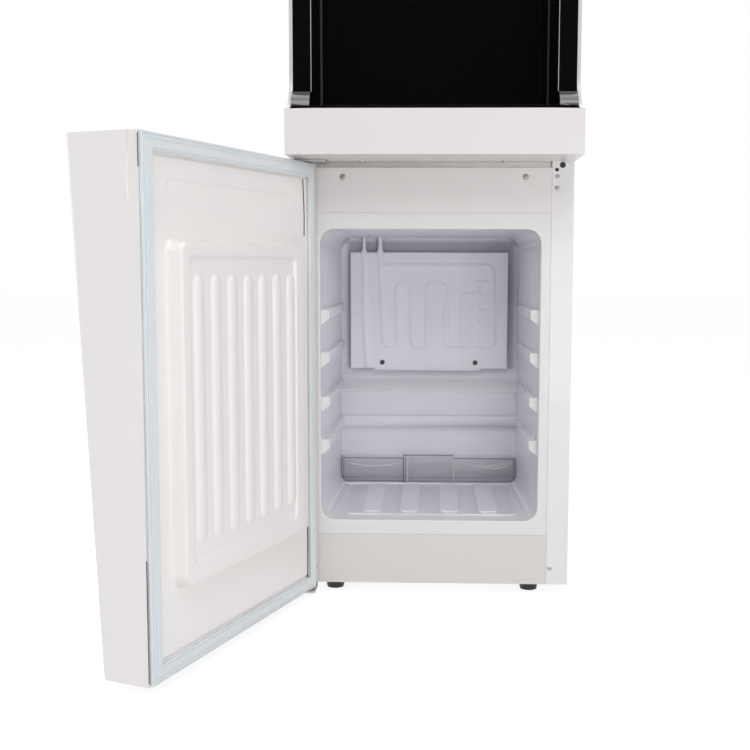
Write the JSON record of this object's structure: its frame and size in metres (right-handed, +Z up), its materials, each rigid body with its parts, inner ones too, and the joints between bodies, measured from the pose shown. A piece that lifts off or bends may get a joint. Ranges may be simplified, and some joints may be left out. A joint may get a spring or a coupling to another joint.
{
  "type": "point-of-use water cooler",
  "caption": "Tall white floor-standing water cooler with a black dispensing niche, drip tray, taps and a small fridge behind an open wedge-shaped door.",
  "frame": {"origin": "on the floor, midway between the four feet", "axes": "+X to the cooler's right seen from the front, +Y towards its back, +Z up; drawn with the fridge door open"},
  "size_m": [0.4681, 0.5771, 1.01],
  "materials": {
    "white_steel": "satin powder coat",
    "grey_steel": "satin",
    "dark_steel": "satin",
    "galvanised": "matte",
    "zinc": "plated",
    "stainless": "brushed",
    "aluminium": "satin",
    "copper": "drawn tube",
    "white_plastic": "gloss",
    "liner_plastic": "semi-gloss",
    "door_liner_plastic": "semi-gloss",
    "black_gloss": "high gloss",
    "black_plastic": "matte",
    "grey_plastic": "matte",
    "natural_plastic": "matte",
    "clear_plastic": "clear",
    "seal_rubber": "matte",
    "black_rubber": "matte",
    "foam": "rigid foam",
    "red_plastic": "gloss",
    "blue_plastic": "gloss",
    "pale_plastic": "gloss",
    "lens_plastic": "translucent"
  },
  "bodies": {
    "cabinet": {"base_tray": "galvanised", "feet": "black_plastic", "foot_screws": "zinc", "hinge_top": "dark_steel", "hinge_bottom": "dark_steel", "side_panel_left": "white_steel", "side_panel_right": "white_steel", "cabinet_liner": "liner_plastic", "cabinet_foam": "foam", "upper_front_panel": "white_plastic", "lower_front_panel": "white_plastic", "deck": "galvanised", "evaporator_plate": "aluminium", "pan_screws": "zinc", "fold_screws": "zinc", "drip_housing": "white_plastic", "niche_panel": "black_gloss", "side_frames": "white_plastic", "fascia": "white_plastic", "control_panel": "black_gloss", "indicator_lenses": "lens_plastic", "taps": "white_plastic", "tap_valves": "natural_plastic", "top_cover": "white_plastic", "tank_shelf": "galvanised", "cold_tank": "stainless", "hot_tank": "stainless", "cold_tank_insulation": "foam", "hot_tank_insulation": "foam", "hot_tank_heater": "stainless", "cooling_coil": "copper", "inlet_fitting": "white_plastic", "inlet_valve": "natural_plastic", "water_hoses": "natural_plastic", "drain_outlets": "white_plastic", "compressor": "dark_steel", "compressor_grommets": "black_rubber", "condenser": "dark_steel", "condenser_clips": "black_plastic", "filter_drier": "copper", "refrigerant_lines": "copper", "control_box": "natural_plastic", "switch_housing": "black_plastic", "cord_gland": "black_plastic", "rear_panel": "grey_steel"},
    "door": {"door_shell": "white_plastic", "door_foam": "foam", "door_liner": "door_liner_plastic", "door_gasket": "seal_rubber", "door_bushes": "grey_plastic"},
    "shelf": {"shelf": "clear_plastic"},
    "catch_tray": {"catch_tray": "clear_plastic"},
    "drip_tray": {"drip_tray": "black_plastic"},
    "drip_grille": {"drip_grille": "stainless"},
    "hot_button": {"hot_button": "red_plastic"},
    "ambient_button": {"ambient_button": "pale_plastic"},
    "cold_button": {"cold_button": "blue_plastic"},
    "hot_lock": {"hot_lock": "red_plastic"},
    "hot_switch": {"hot_switch": "red_plastic"},
    "cold_switch": {"cold_switch": "blue_plastic"}
  },
  "joints": [
    {"name": "door_hinge", "type": "hinge", "parent": "cabinet", "child": "door", "pos_m": [-0.1455, -0.1445, 0.248], "axis": [0, 0, -1], "range_deg": [-111.1, 2]},
    {"name": "shelf_slide", "type": "slide", "parent": "cabinet", "child": "shelf", "axis": [0, -1, 0], "range_m": [0, 0.18]},
    {"name": "catch_tray_slide", "type": "slide", "parent": "cabinet", "child": "catch_tray", "axis": [0, -1, 0], "range_m": [0, 0.15]},
    {"name": "drip_tray_lift", "type": "slide", "parent": "cabinet", "child": "drip_tray", "axis": [0, 0, 1], "range_m": [0, 0.05]},
    {"name": "drip_grille_lift", "type": "slide", "parent": "drip_tray", "child": "drip_grille", "axis": [0, 0, 1], "range_m": [0, 0.03]},
    {"name": "hot_button_press", "type": "slide", "parent": "cabinet", "child": "hot_button", "axis": [0, 1, 0], "range_m": [0, 0.004], "stiffness_N_per_m": 400, "springref_m": -0.001},
    {"name": "ambient_button_press", "type": "slide", "parent": "cabinet", "child": "ambient_button", "axis": [0, 1, 0], "range_m": [0, 0.004], "stiffness_N_per_m": 400, "springref_m": -0.001},
    {"name": "cold_button_press", "type": "slide", "parent": "cabinet", "child": "cold_button", "axis": [0, 1, 0], "range_m": [0, 0.004], "stiffness_N_per_m": 400, "springref_m": -0.001},
    {"name": "hot_lock_slide", "type": "slide", "parent": "cabinet", "child": "hot_lock", "axis": [1, 0, 0], "range_m": [0, 0.006]},
    {"name": "hot_switch_rocker", "type": "hinge", "parent": "cabinet", "child": "hot_switch", "pos_m": [0.097, 0.124, 0.716], "axis": [-1, 0, 0], "range_deg": [0, 14]},
    {"name": "cold_switch_rocker", "type": "hinge", "parent": "cabinet", "child": "cold_switch", "pos_m": [0.119, 0.124, 0.716], "axis": [-1, 0, 0], "range_deg": [0, 14]}
  ]
}
